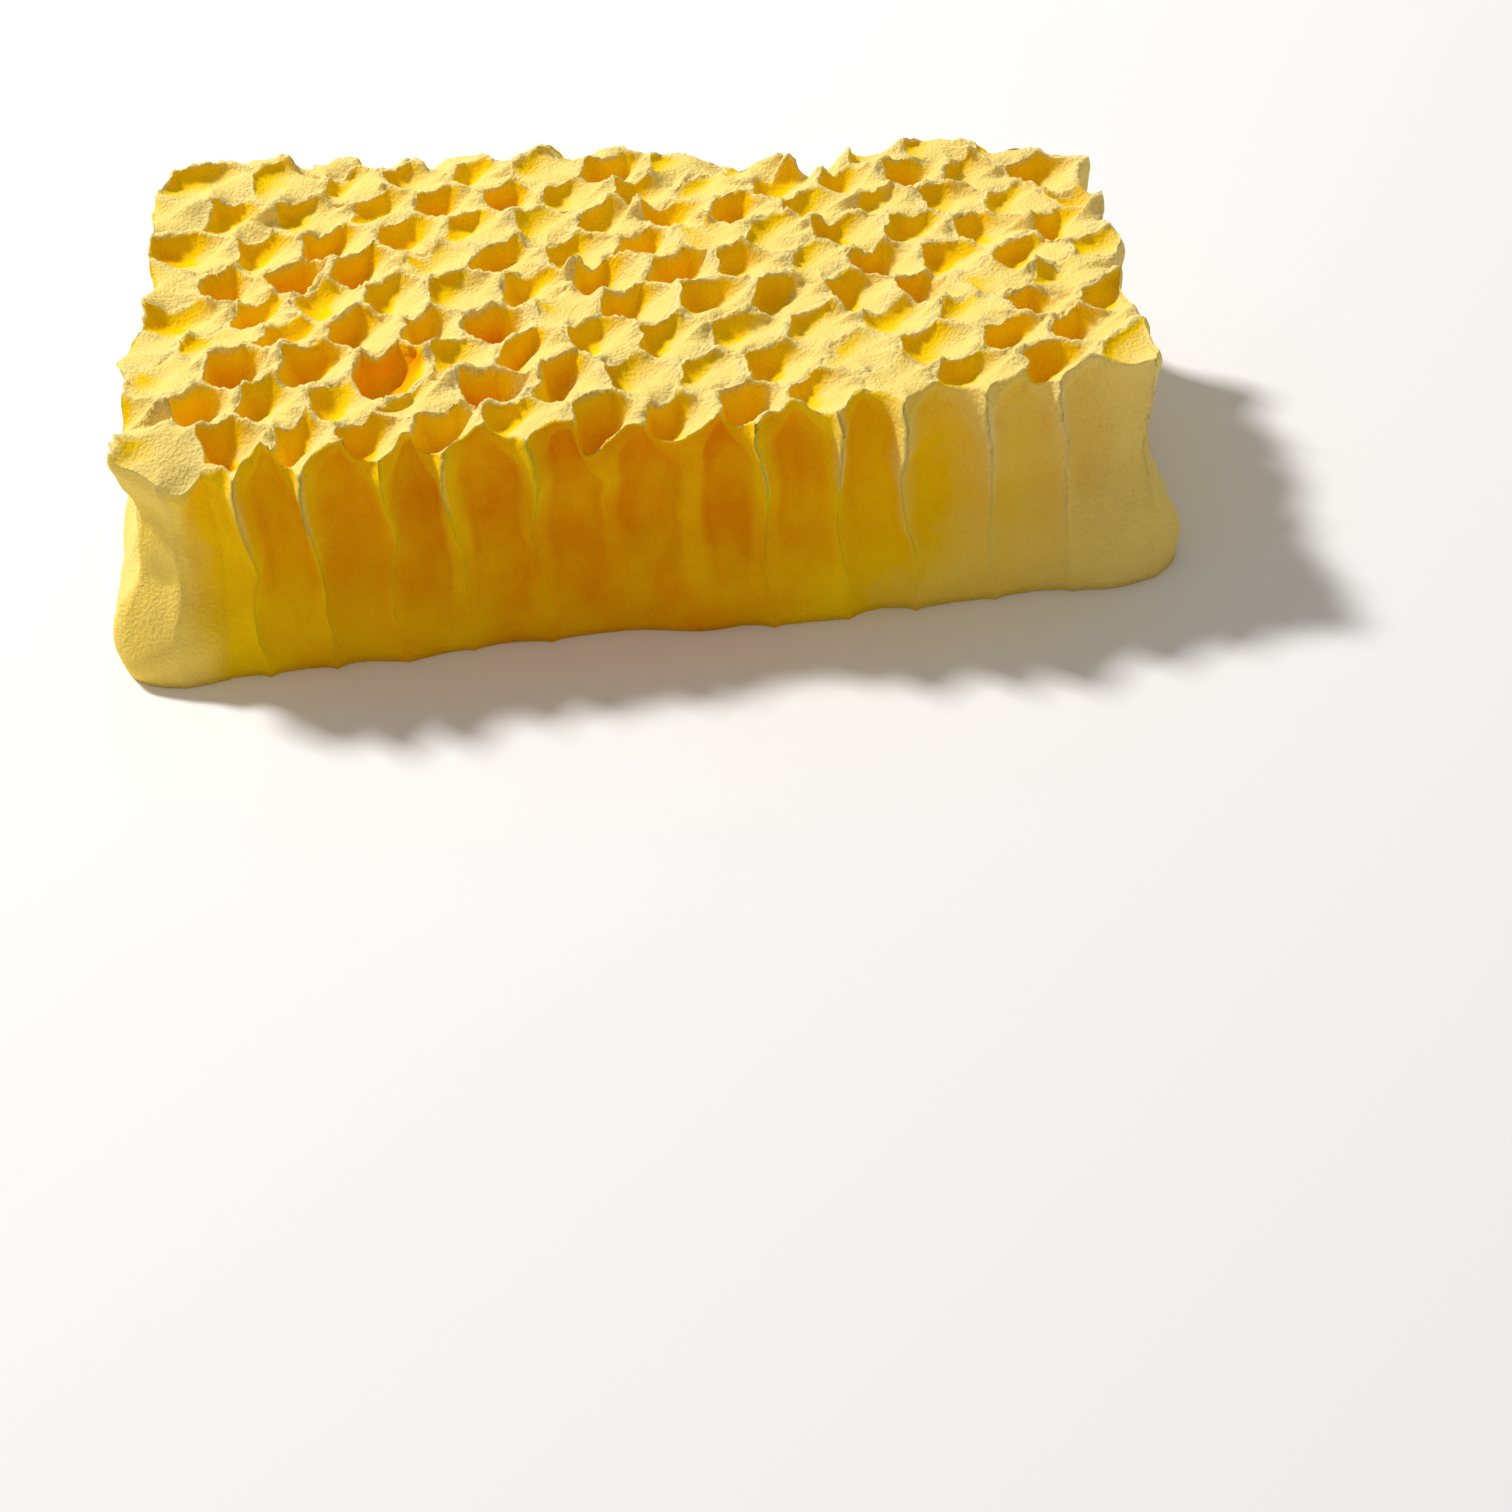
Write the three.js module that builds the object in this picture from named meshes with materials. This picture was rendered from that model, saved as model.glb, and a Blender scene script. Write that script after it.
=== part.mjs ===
// A slab of toy honeycomb: soft yellow modelling clay, pressed in a mould of real comb.
// It is one solid. Rows of six-sided cells open upwards, each to its own depth. The cut front shows
// half cells as upright flutes, and the soft clay spreads a little round its flat bottom.
// Millimetres, +Z up. X runs along the rows and Y from front to back, and the origin is the middle
// of the bottom.

import * as THREE from 'three';

// Driving dimensions of the comb
const CELL_PITCH = 5.75; // from cell to cell along a row
const ROW_GAP = 4.68; // from row to row
const RIM_HEIGHT = 19.6; // from the bottom to the mean height of the cell rims

// How deep each kind of cell is, and how steeply its sides fall: the deeper, the flatter its floor
const CELL_KINDS = {
  f: { depth: 0.4, steepness: 1.5 }, // filled
  s: { depth: 0.95, steepness: 1.6 }, // shallow
  m: { depth: 1.7, steepness: 1.9 }, // middle
  d: { depth: 2.7, steepness: 2.3 }, // deep
  p: { depth: 3.9, steepness: 3.2 }, // deepest
  o: { depth: 2.8, steepness: 3.6 }, // open, with a wide floor
};
const DEPTH_SPREAD = 0.15; // share by which a cell's depth may differ from its kind's
const LEVEL_SPREAD = 0.6; // how much higher or lower one cell as a whole may stand than another
// The mould leaned as it was pulled off, so each cell is lowest and steepest at its back left
const LOWEST_POINT = new THREE.Vector2(-0.18, 0.09); // from the cell's middle, as shares of the pitch
const STEEP_SIDE = new THREE.Vector2(-0.87, 0.5);
const STEEPER = 0.52;

// The kind of each cell: a row of letters for a row of cells, from the back row to the front one
const CELL_CHART = [
  'sssmmssmssssss',
  'ssssmfdfsmsfff',
  'fmsmddsssmmmfm',
  'mmddmsmmdmssss',
  'fdpdsmmdffmmmm',
  'mdmmsmddmfdmmf',
  'fsdddpfdmmmdfs',
  'spdosdmmmsmsdm',
  'dpmmspdssmfmdd',
  'fddddmdddmfmdf',
];
// Neighbours whose shared wall has torn away, as row and cell in that row
const TORN_WALLS = [[8, 0, 8, 1]];

// Rims: every corner where three walls meet is a little peak, and each wall sags between two corners
const PEAK_HIGH = 0.5;
const HORN_HEIGHT = 1.0; // a few corners were pulled up into horns
const HORN_LUCK = 0.8; // only corners with more luck than this have one
const SAG_HIGH = 1.0;
const TORN_SHARE = 0.95; // share of the shallower cell's depth that a torn wall loses
const CORNER_SLUMP = { x: -35, y: -24, reach: 5, depth: 2.6 }; // the front left corner sank

// The comb was not quite regular, and its slab was cut narrower on the right than on the left
const LEAN = 0.05; // X gained for each millimetre towards the back, in the middle of a row
const NARROWING = 0.001; // share of X lost for each millimetre towards the back
const SLOPE = -0.02; // Y gained for each millimetre to the right
const TAPER = 0.0022; // share of Y lost for each millimetre to the right
const FRONT_SPREAD = 0.0018; // growth of the row gaps towards the front, per square millimetre
const BOW = 0.0006; // how far the rows' ends bend back, per square millimetre
const WOBBLE = 0.4; // how far cells wander from their rows
const SMALL_WOBBLE = 0.3;
const LEFT_PULL = { x: -38, reach: 6, far: 1.6 }; // the cells at the front left were pulled forwards
const SLOT_PULL = { x: -19.0, y: -12.5, reach: 2.45, far: 2.2 }; // the open cell's torn front corner

// Cut sides
const FRONT_CUT = 0.6; // share of the front row's outer half that is left
// Where the front cut runs further out, or further in
const FRONT_BULGES = [
  { x: -39, wide: 3, more: -0.4 },
  { x: -33, wide: 2.6, more: 1.0 },
  { x: -1.5, wide: 5, more: -0.5 },
  { x: 12, wide: 5, more: 0.6 },
];
const LEFT_CUT = 0.57; // share that is left of the outer halves of the cells that end every other row
const RIGHT_CUT = 0.33;
// The back cut crosses the back row. At each X it runs this far behind the middles of the row before
const BACK_CUT = [
  [-42, 0.2],
  [-35, 3.6],
  [-17, 4.6],
  [-10.5, 3.2],
  [-5, 4.6],
  [1, 3.8],
  [9, 0.2],
  [16, -0.6],
  [27, 2.2],
  [33, -0.6],
  [40, -1.4],
];
const LEFT_BEHIND = 0.1; // share left of the left end's outer halves behind the back cut, so that no fold hangs there
const BACK_SLIDE = 0.35; // what was behind the back cut lies down the back face, shortened to this share
const BACK_LEAN = 0.1; // and leans out by this share
const SIDE_STRAIGHTEN = 0.75; // how far the ends of the shorter rows reach out to the longer ones
// How far each ridge between the front flutes stands out, from the left
const RIDGES = [0.3, 1.6, 1.7, 0.7, 1.0, 1.1, -0.4, -0.2, 1.3, 1.3, 1.8, 1.3, 1.0, 0.6, 0.5];
const WALL_HALF = 0.45; // half the thickness of a cut wall just under its rim
const CORNER_ROUNDING = 1; // how far the front and back draw in at the slab's corners
const SPREAD_AT_FOOT = 0.9; // how far the clay spreads at the bottom, in front and behind
const MORE_AT_ENDS = 1.7; // how much further it spreads at the two front corners
const MORE_BEHIND = 0.35; // share of that along the rest of the two ends

const RIM_DROP = 1.0; // first level of the sides, below the rim
const SIDE_LEVELS = [
  { z: 14, flute: 0.95, spread: -0.7 },
  { z: 9, flute: 0.75, spread: -0.3 },
  { z: 4.5, flute: 0.45, spread: 0.9 },
  { z: 1.2, flute: 0.25, spread: 1.2 },
  { z: 0, flute: 0.2, spread: 0.9 },
];
const DENT = { x: 40, y: -16, z: 9.5, wide: 3.2, high: 4, deep: 1.6 }; // a thumb's dent in the right end
const SMOOTHING_REACH = 6; // rim points each way that make up the flute-free outline

const ROWS = CELL_CHART.length;
const CELLS = CELL_CHART[0].length;
const MIDDLE_ROW = 5; // the row through the origin
const HALF_ROW = (CELLS - 1) / 2;
const LAST_X = (HALF_ROW + 0.25) * CELL_PITCH; // middles of the outermost cells
const FRONT_Y = (MIDDLE_ROW - ROWS + 1) * ROW_GAP; // middles of the front row
const BACK_Y = (MIDDLE_ROW - 1) * ROW_GAP; // middles of the last row that isn't cut
const HEX = Math.sqrt(3) / 2;
const SIXTH = Math.PI / 3;
const POINTS_ROUND_CELL = 12; // corners and wall middles
const RINGS = [1, 0.8, 0.5]; // shares of the way out from the cell's lowest point

const CLAY = new THREE.MeshStandardMaterial({
  name: 'clay',
  color: new THREE.Color(0.93, 0.7, 0.2),
  roughness: 0.8,
  metalness: 0,
});

// A repeatable number from 0 to 1 for a pair of whole numbers
function chance(a, b, kind) {
  const wave = Math.sin(a * 127.1 + b * 311.7 + kind * 74.7) * 43758.5453;
  return wave - Math.floor(wave);
}

// Every other row starts half a cell further to the right
function rowShift(row) {
  return row % 2 === 0 ? -0.25 : 0.25;
}

// 1 at no distance, and fading to nothing over about twice the reach
function hump(distance, reach) {
  return Math.exp(-((distance / reach) ** 2));
}

function cellMiddle(row, cell) {
  return new THREE.Vector2((cell - HALF_ROW + rowShift(row)) * CELL_PITCH, (MIDDLE_ROW - row) * ROW_GAP);
}

// From the comb's own places to a grid where neighbouring cells are 1 apart and truly six-sided
function toHexGrid(x, y) {
  return new THREE.Vector2(x / CELL_PITCH, (y / ROW_GAP) * HEX);
}

// 0 in the middle of a cell and 1 on its walls
function hexDistance(dx, dy) {
  const slantA = Math.abs(dx / 2 + dy * HEX);
  const slantB = Math.abs(dx / 2 - dy * HEX);
  return 2 * Math.max(Math.abs(dx), slantA, slantB);
}

function nearestCell(x, y) {
  let best = null;
  const rowGuess = Math.round(MIDDLE_ROW - y / ROW_GAP);
  for (let row = Math.max(0, rowGuess - 1); row <= Math.min(ROWS - 1, rowGuess + 1); row++) {
    const cellGuess = Math.round(x / CELL_PITCH + HALF_ROW);
    for (let cell = Math.max(0, cellGuess - 1); cell <= Math.min(CELLS - 1, cellGuess + 1); cell++) {
      const middle = cellMiddle(row, cell);
      const away = toHexGrid(x - middle.x, y - middle.y);
      const distance = hexDistance(away.x, away.y);
      if (!best || distance < best.distance - 1e-9) {
        best = { row, cell, middle, away, distance };
      }
    }
  }
  return best;
}

// A cell's depth, with its own share of luck
function cellDepth(row, cell) {
  return CELL_KINDS[CELL_CHART[row][cell]].depth * (1 + DEPTH_SPREAD * (2 * chance(row, cell, 1) - 1));
}

// Slow rise and fall of the whole pressed sheet
function swell(x, y) {
  return 0.7 * Math.sin(x * 0.09 + 1.2) * Math.cos(y * 0.11 - 0.4) + 0.35 * Math.sin(x * 0.21 - y * 0.17);
}

// Height of the corner where three walls meet, known by its place in the comb
function peak(x, y) {
  const along = Math.round((4 * x) / CELL_PITCH);
  const across = Math.round((3 * y) / ROW_GAP);
  const luck = chance(along, across, 2);
  const horn = Math.max(chance(along, across, 5) - HORN_LUCK, 0) / (1 - HORN_LUCK);
  return RIM_HEIGHT + swell(x, y) + PEAK_HIGH * luck * luck + HORN_HEIGHT * horn;
}

function isTorn(row, cell, otherRow, otherCell) {
  return TORN_WALLS.some(
    ([a, b, c, d]) =>
      (a === row && b === cell && c === otherRow && d === otherCell) ||
      (c === row && d === cell && a === otherRow && b === otherCell),
  );
}

// How far the wall on one side of a cell sags in its middle
function sag(row, cell, middle, side) {
  const x = middle.x + (CELL_PITCH / 2) * Math.cos(side * SIXTH);
  const y = middle.y + ((ROW_GAP / HEX) / 2) * Math.sin(side * SIXTH);
  const along = Math.round((4 * x) / CELL_PITCH);
  const across = Math.round((2 * y) / ROW_GAP);
  const beyond = nearestCell(2 * x - middle.x, 2 * y - middle.y);
  if (beyond.distance < 0.5 && isTorn(row, cell, beyond.row, beyond.cell)) {
    return TORN_SHARE * Math.min(cellDepth(row, cell), cellDepth(beyond.row, beyond.cell));
  }
  return SAG_HIGH * chance(along, across, 3) ** 2.5;
}

// Height of the pressed face at a place of the regular comb
function faceHeight(x, y) {
  const { row, cell, middle, away, distance } = nearestCell(x, y);
  const turn = Math.atan2(away.y, away.x);
  const side = Math.round(turn / SIXTH);
  const onWall = 0.5 + Math.tan(turn - side * SIXTH) / (2 * Math.tan(SIXTH / 2));
  const along = THREE.MathUtils.clamp(onWall, 0, 1);
  const cornerReach = 1 / Math.sqrt(3);
  const ends = [side - 0.5, side + 0.5].map((corner) => {
    const x2 = middle.x + cornerReach * CELL_PITCH * Math.cos(corner * SIXTH);
    const y2 = middle.y + cornerReach * (ROW_GAP / HEX) * Math.sin(corner * SIXTH);
    return peak(x2, y2);
  });
  const wallTop = THREE.MathUtils.lerp(ends[0], ends[1], THREE.MathUtils.smoothstep(along, 0, 1))
    - sag(row, cell, middle, side) * (4 * along * (1 - along)) ** 1.5;
  const level = RIM_HEIGHT + swell(middle.x, middle.y) + LEVEL_SPREAD * (chance(row, cell, 4) - 0.5);
  const out = away.clone().addScaledVector(LOWEST_POINT, distance ** 2 - 1);
  const round = 2 * out.length() * Math.sqrt(HEX);
  const sixSided = Math.min(hexDistance(out.x, out.y), 1);
  const reach = Math.min(THREE.MathUtils.lerp(round, sixSided, sixSided ** 2), 1);
  const steep = 1 + STEEPER * out.normalize().dot(STEEP_SIDE);
  const bowl = reach ** (CELL_KINDS[CELL_CHART[row][cell]].steepness * steep);
  return level - cellDepth(row, cell) * (1 - bowl) + (wallTop - level) * reach ** 5;
}

// Share of the front row's outer half that is left at x
function frontReach(x) {
  const more = FRONT_BULGES.reduce((sum, bulge) => sum + bulge.more * hump(x - bulge.x, bulge.wide), 0);
  return FRONT_CUT * (1 + more);
}

// Where the back cut runs at x
function backCut(x) {
  const next = BACK_CUT.findIndex(([at]) => at > x);
  if (next <= 0) {
    return BACK_Y + BACK_CUT.at(next)[1];
  }
  const [[fromX, from], [toX, to]] = [BACK_CUT[next - 1], BACK_CUT[next]];
  return BACK_Y + THREE.MathUtils.lerp(from, to, THREE.MathUtils.smoothstep(x, fromX, toX));
}

// Draws the outermost cells in to the cuts at the front, the left and the right, and stops at the back cut
function cutComb(x, y) {
  const beyond = Math.abs(x) - LAST_X;
  const cutX = beyond > 0 ? Math.sign(x) * (LAST_X + beyond * (x > 0 ? RIGHT_CUT : LEFT_CUT)) : x;
  const cutY = y < FRONT_Y ? FRONT_Y + (y - FRONT_Y) * frontReach(cutX) : y;
  const drawnIn = cutX < -LAST_X ? -LAST_X + (cutX + LAST_X) * LEFT_BEHIND : cutX;
  const behind = Math.max(cutY - backCut(drawnIn), 0);
  return { x: behind > 0 ? drawnIn : cutX, y: cutY - behind, behind };
}

// Brings the ends of the shorter rows out towards the ends of the longer ones
function straightenSides(x) {
  const inner = (HALF_ROW - 0.25) * CELL_PITCH;
  const tip = LAST_X + (CELL_PITCH / 2) * (x > 0 ? RIGHT_CUT : LEFT_CUT);
  const reach = Math.abs(x);
  if (reach < inner) {
    return x;
  }
  const moved = THREE.MathUtils.lerp(LAST_X, tip, SIDE_STRAIGHTEN);
  const out = reach < LAST_X
    ? inner + ((reach - inner) / (LAST_X - inner)) * (moved - inner)
    : moved + ((reach - LAST_X) / (tip - LAST_X)) * (tip - moved);
  return Math.sign(x) * out;
}

// Draws the front row's outer corners out into the ridges between the flutes, some more than others
function ridge(x, y) {
  const near = THREE.MathUtils.clamp((FRONT_Y - y) / (((ROW_GAP * 2) / 3) * frontReach(x)), 0, 1);
  const phase = x / CELL_PITCH + HALF_ROW - rowShift(ROWS - 1);
  const offRidge = 2 * Math.abs(phase - Math.round(phase));
  const bold = RIDGES[THREE.MathUtils.clamp(Math.round(phase), 0, RIDGES.length - 1)];
  return -bold * near ** 4 * (1 - offRidge) ** 5;
}

// From the regular comb to its place on the real slab
function place(x, y) {
  const tip = LAST_X + (CELL_PITCH / 2) * LEFT_CUT;
  const wide = straightenSides(x);
  const corner = THREE.MathUtils.smoothstep(Math.abs(wide), 33, 41.5);
  const drawnIn = 1 - (CORNER_ROUNDING * corner) / 20;
  const leftPull = LEFT_PULL.far * hump(wide - LEFT_PULL.x, LEFT_PULL.reach);
  const slotPull = SLOT_PULL.far * hump(Math.hypot(x - SLOT_PULL.x, y - SLOT_PULL.y), SLOT_PULL.reach);
  const deep = (y + ridge(x, y)) * drawnIn - leftPull * THREE.MathUtils.smoothstep(-y, 6, 16) - slotPull;
  const wanderX = WOBBLE * Math.sin(0.31 * y + 0.17 * x + 0.6)
    + SMALL_WOBBLE * Math.sin(0.83 * y - 0.52 * x + 1.9);
  const wanderY = WOBBLE * Math.sin(0.27 * x - 0.13 * y + 2.1)
    + SMALL_WOBBLE * Math.sin(0.77 * x + 0.61 * y + 0.3);
  const lean = LEAN * deep * (1 - (wide / tip) ** 2);
  const acrossRows = deep * (1 - TAPER * wide) - FRONT_SPREAD * deep * deep;
  return new THREE.Vector2(
    wide * (1 - NARROWING * deep) + lean + wanderX,
    acrossRows + SLOPE * wide + BOW * wide * wide + wanderY,
  );
}

// How much lower the face lies at its sunken corner
function slump(x, y) {
  const away = Math.hypot(x - CORNER_SLUMP.x, y - CORNER_SLUMP.y);
  return CORNER_SLUMP.depth * hump(away, CORNER_SLUMP.reach);
}

function facePoint(x, y) {
  const cut = cutComb(x, y);
  const at = place(cut.x, cut.y + BACK_LEAN * cut.behind);
  const height = faceHeight(cut.x, cut.y) - slump(cut.x, cut.y) - BACK_SLIDE * cut.behind;
  return new THREE.Vector3(at.x, at.y, height);
}

// The pressed face: rings of points round the middle of every cell, with the walls' points shared
function pressedFace() {
  const points = [];
  const triangles = [];
  const shared = new Map();
  const add = (x, y) => points.push(facePoint(x, y)) - 1;
  const addShared = (x, y) => {
    const key = `${Math.round((4 * x) / CELL_PITCH)},${Math.round((6 * y) / ROW_GAP)}`;
    if (!shared.has(key)) {
      shared.set(key, add(x, y));
    }
    return shared.get(key);
  };
  for (let row = 0; row < ROWS; row++) {
    for (let cell = 0; cell < CELLS; cell++) {
      const middle = cellMiddle(row, cell);
      const addAt = (across, along, put) =>
        put(middle.x + across * CELL_PITCH, middle.y + along * (ROW_GAP / HEX));
      const rings = RINGS.map((share) => {
        const ring = [];
        const inward = 1 - share ** 2;
        for (let i = 0; i < POINTS_ROUND_CELL; i++) {
          const turn = (i * 2 * Math.PI) / POINTS_ROUND_CELL;
          const wall = 0.5 / Math.cos(turn - Math.round(turn / SIXTH) * SIXTH);
          const across = share * wall * Math.cos(turn) + inward * LOWEST_POINT.x;
          const along = share * wall * Math.sin(turn) + inward * LOWEST_POINT.y;
          ring.push(addAt(across, along, share === 1 ? addShared : add));
        }
        return ring;
      });
      const bottom = addAt(LOWEST_POINT.x, LOWEST_POINT.y, add);
      for (let i = 0; i < POINTS_ROUND_CELL; i++) {
        const next = (i + 1) % POINTS_ROUND_CELL;
        for (let r = 0; r + 1 < rings.length; r++) {
          const [outer, inner] = [rings[r], rings[r + 1]];
          triangles.push([inner[i], outer[i], outer[next]], [inner[i], outer[next], inner[next]]);
        }
        const last = rings[rings.length - 1];
        triangles.push([bottom, last[i], last[next]]);
      }
    }
  }
  return { points, triangles };
}

// The face's outer edge, as one loop of point numbers that runs anticlockwise from above
function outerLoop(triangles) {
  const onward = new Map();
  const seen = new Set(triangles.flatMap(([a, b, c]) => [`${a},${b}`, `${b},${c}`, `${c},${a}`]));
  for (const edge of seen) {
    const [from, to] = edge.split(',').map(Number);
    if (!seen.has(`${to},${from}`)) {
      onward.set(from, to);
    }
  }
  const start = onward.keys().next().value;
  const loop = [start];
  for (let at = onward.get(start); at !== start; at = onward.get(at)) {
    loop.push(at);
  }
  return loop;
}

// Each loop point's place on an outline without flutes, and the way out from there
function calmOutline(loop, points) {
  const count = loop.length;
  const at = (i) => points[loop[(i + count) % count]];
  const calm = loop.map((_, i) => {
    const sum = new THREE.Vector2();
    let weights = 0;
    for (let step = -SMOOTHING_REACH; step <= SMOOTHING_REACH; step++) {
      const weight = SMOOTHING_REACH + 1 - Math.abs(step);
      sum.add(new THREE.Vector2(at(i + step).x, at(i + step).y).multiplyScalar(weight));
      weights += weight;
    }
    return sum.divideScalar(weights);
  });
  return calm.map((here, i) => {
    const before = calm[(i + count - 1) % count];
    const after = calm[(i + 1) % count];
    const out = new THREE.Vector2(after.y - before.y, before.x - after.x).normalize();
    return { here, out };
  });
}

// How far the foot spreads at one place, as soft clay does unevenly
function footSpread(here) {
  const atEnds = THREE.MathUtils.smoothstep(Math.abs(here.x), 32, 39);
  const inFront = THREE.MathUtils.smoothstep(-here.y, 5, 20);
  const more = MORE_AT_ENDS * atEnds * THREE.MathUtils.lerp(MORE_BEHIND, 1, inFront);
  const uneven = 1 + 0.3 * Math.sin(here.x * 0.23 + here.y * 0.31) + 0.2 * Math.sin(here.x * 0.6);
  return (SPREAD_AT_FOOT + more) * uneven;
}

// How deep the dent is at one place of the sides
function dentDepth(here, z) {
  const along = Math.hypot(here.x - DENT.x, here.y - DENT.y) / DENT.wide;
  const upright = (z - DENT.z) / DENT.high;
  return DENT.deep * hump(Math.hypot(along, upright), 1);
}

// The cut sides, from the rims down to the bottom, and the bottom itself
function addSidesAndBottom({ points, triangles }) {
  const loop = outerLoop(triangles);
  const outline = calmOutline(loop, points);
  const underRim = loop.map((id, i) => {
    const rim = points[id];
    const { out } = outline[i];
    return new THREE.Vector3(rim.x + out.x * WALL_HALF, rim.y + out.y * WALL_HALF, rim.z - RIM_DROP);
  });
  const levels = [underRim];
  for (const { z, flute, spread } of SIDE_LEVELS) {
    levels.push(loop.map((id, i) => {
      const rim = points[id];
      const { here, out } = outline[i];
      const reach = WALL_HALF + spread * footSpread(here) - dentDepth(here, z);
      return new THREE.Vector3(
        THREE.MathUtils.lerp(here.x, rim.x, flute) + out.x * reach,
        THREE.MathUtils.lerp(here.y, rim.y, flute) + out.y * reach,
        z,
      );
    }));
  }
  let upper = loop;
  for (const level of levels) {
    const lower = level.map((point) => points.push(point) - 1);
    for (let i = 0; i < loop.length; i++) {
      const next = (i + 1) % loop.length;
      triangles.push([upper[i], lower[i], lower[next]], [upper[i], lower[next], upper[next]]);
    }
    upper = lower;
  }
  const middle = points.push(new THREE.Vector3(0, 0, 0)) - 1;
  for (let i = 0; i < loop.length; i++) {
    triangles.push([middle, upper[(i + 1) % loop.length], upper[i]]);
  }
}

function honeycombGeometry() {
  const shell = pressedFace();
  addSidesAndBottom(shell);
  const geometry = new THREE.BufferGeometry().setFromPoints(shell.points);
  geometry.setIndex(shell.triangles.flat());
  geometry.computeBoundingBox();
  const middle = geometry.boundingBox.getCenter(new THREE.Vector3());
  geometry.translate(-middle.x, -middle.y, 0);
  geometry.computeVertexNormals();
  return geometry;
}

const slab = new THREE.Mesh(honeycombGeometry(), CLAY);
slab.name = 'honeycomb_slab';

const part = new THREE.Group();
part.add(slab);

export default part;
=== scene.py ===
# %% [markdown]
# # A slab of toy honeycomb
#
# The real thing is one block of soft, air-dried modelling clay. Its top was pressed in a mould taken
# from bee comb, and then a cutter went round it, so that the front shows half cells as upright flutes.
# Everything is one colour of clay. What the eye reads is form: thin crests, bowls of uneven depth and
# crumbly edges. So most of this lesson makes one good mesh, and only a little of it makes a finish.
#
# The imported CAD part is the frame. It fixes the size and the place of the fine mesh that is made here.

import math

import bpy
import numpy as np
from mathutils import Matrix, Vector


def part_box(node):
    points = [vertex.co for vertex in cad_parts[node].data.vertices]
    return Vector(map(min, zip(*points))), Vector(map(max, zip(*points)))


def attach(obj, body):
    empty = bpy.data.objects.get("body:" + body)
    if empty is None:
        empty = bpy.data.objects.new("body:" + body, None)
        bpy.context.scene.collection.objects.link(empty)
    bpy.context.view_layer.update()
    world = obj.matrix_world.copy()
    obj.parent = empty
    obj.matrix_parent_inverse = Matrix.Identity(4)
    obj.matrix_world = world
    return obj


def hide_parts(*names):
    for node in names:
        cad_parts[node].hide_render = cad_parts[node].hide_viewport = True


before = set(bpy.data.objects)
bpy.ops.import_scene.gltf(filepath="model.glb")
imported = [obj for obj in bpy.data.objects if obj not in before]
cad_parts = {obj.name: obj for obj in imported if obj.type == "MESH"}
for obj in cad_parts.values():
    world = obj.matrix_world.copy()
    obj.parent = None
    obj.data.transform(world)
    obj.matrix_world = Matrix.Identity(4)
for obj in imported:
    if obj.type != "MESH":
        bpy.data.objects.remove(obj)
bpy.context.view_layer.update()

# %% [markdown]
# ## The comb in numbers
#
# The real comb has ten rows of fourteen cells, a little closer from row to row than in a perfect comb.
# Which cells are deep follows no rule: the mould pressed some fully and others hardly at all. It could be
# left to luck, but the eye knows the object by its few dark hollows, so a chart says it cell by cell.
# Sizes are in millimetres here, because that suits a comb, and MM turns them into Blender's metres.

# %% Sizes of the comb
MM = 0.001
CELL_PITCH = 5.75  # from cell to cell along a row
ROW_GAP = 4.68  # from row to row
HEX = math.sqrt(3) / 2  # row gap by pitch in a perfect comb
ROW_SQUEEZE = ROW_GAP / (CELL_PITCH * HEX)
print(f"cells {CELL_PITCH} mm apart, rows at {ROW_SQUEEZE:.0%} of their gap in a perfect comb")

# %% The chart of cells
# A letter for each cell, row by row from the back: filled, shallow, middle, deep, p for deepest, open
CELL_CHART = [
    "sssmmssmssssss",
    "ssssmfdfsmsfff",
    "fmsmddsssmmmfm",
    "mmddmsmmdmssss",
    "fdpdsmmdffmmmm",
    "mdmmsmddmfdmmf",
    "fsdddpfdmmmdfs",
    "spdosdmmmsmsdm",
    "dpmmspdssmfmdd",
    "fddddmdddmfmdf",
]
ROWS = len(CELL_CHART)
CELLS = len(CELL_CHART[0])
MIDDLE_ROW = 5  # the row through the slab's middle
HALF_ROW = (CELLS - 1) / 2
print(f"{ROWS} rows of {CELLS} cells")

# %% [markdown]
# ## One cell
#
# The mould made all cells at once, as dents in one flat sheet. They could be cut out of a block with
# booleans, but that leaves ragged faces on the thin crests. So the mesh is laid out flat first, cell by
# cell, and shaped later. All cells have the same net of faces, and one is enough: a six-sided circle
# whose edges are subdivided, extruded inwards ring by ring and merged in the middle. The rings crowd
# at the wall, where the crest needs them most.

# %% A six-sided outline
POINTS_PER_SIDE = 10

bpy.ops.object.select_all(action="DESELECT")
bpy.ops.mesh.primitive_circle_add(vertices=6, radius=CELL_PITCH * MM / math.sqrt(3))
comb = bpy.context.object
bpy.ops.object.mode_set(mode="EDIT")
bpy.ops.mesh.subdivide(number_cuts=POINTS_PER_SIDE - 1)
print("outline of a cell:", 6 * POINTS_PER_SIDE, "points")

# %% Rings drawn in to the middle
RING_SHARES = [0.975, 0.94, 0.88, 0.8, 0.7, 0.57, 0.42, 0.23]  # of the outline's size


def scale_selected(x, y):
    """Scales what is selected in edit mode about the world's middle."""
    bpy.ops.transform.resize(value=(x, y, 1), center_override=(0, 0, 0))


for outer, inner in zip([1] + RING_SHARES, RING_SHARES):
    bpy.ops.mesh.extrude_edges_move()
    scale_selected(inner / outer, inner / outer)
bpy.ops.mesh.extrude_edges_move()
bpy.ops.mesh.merge(type="CENTER")
bpy.ops.mesh.select_all(action="SELECT")
scale_selected(1, ROW_SQUEEZE)
bpy.ops.object.mode_set(mode="OBJECT")
print("one cell:", len(comb.data.polygons), "faces")

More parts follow.
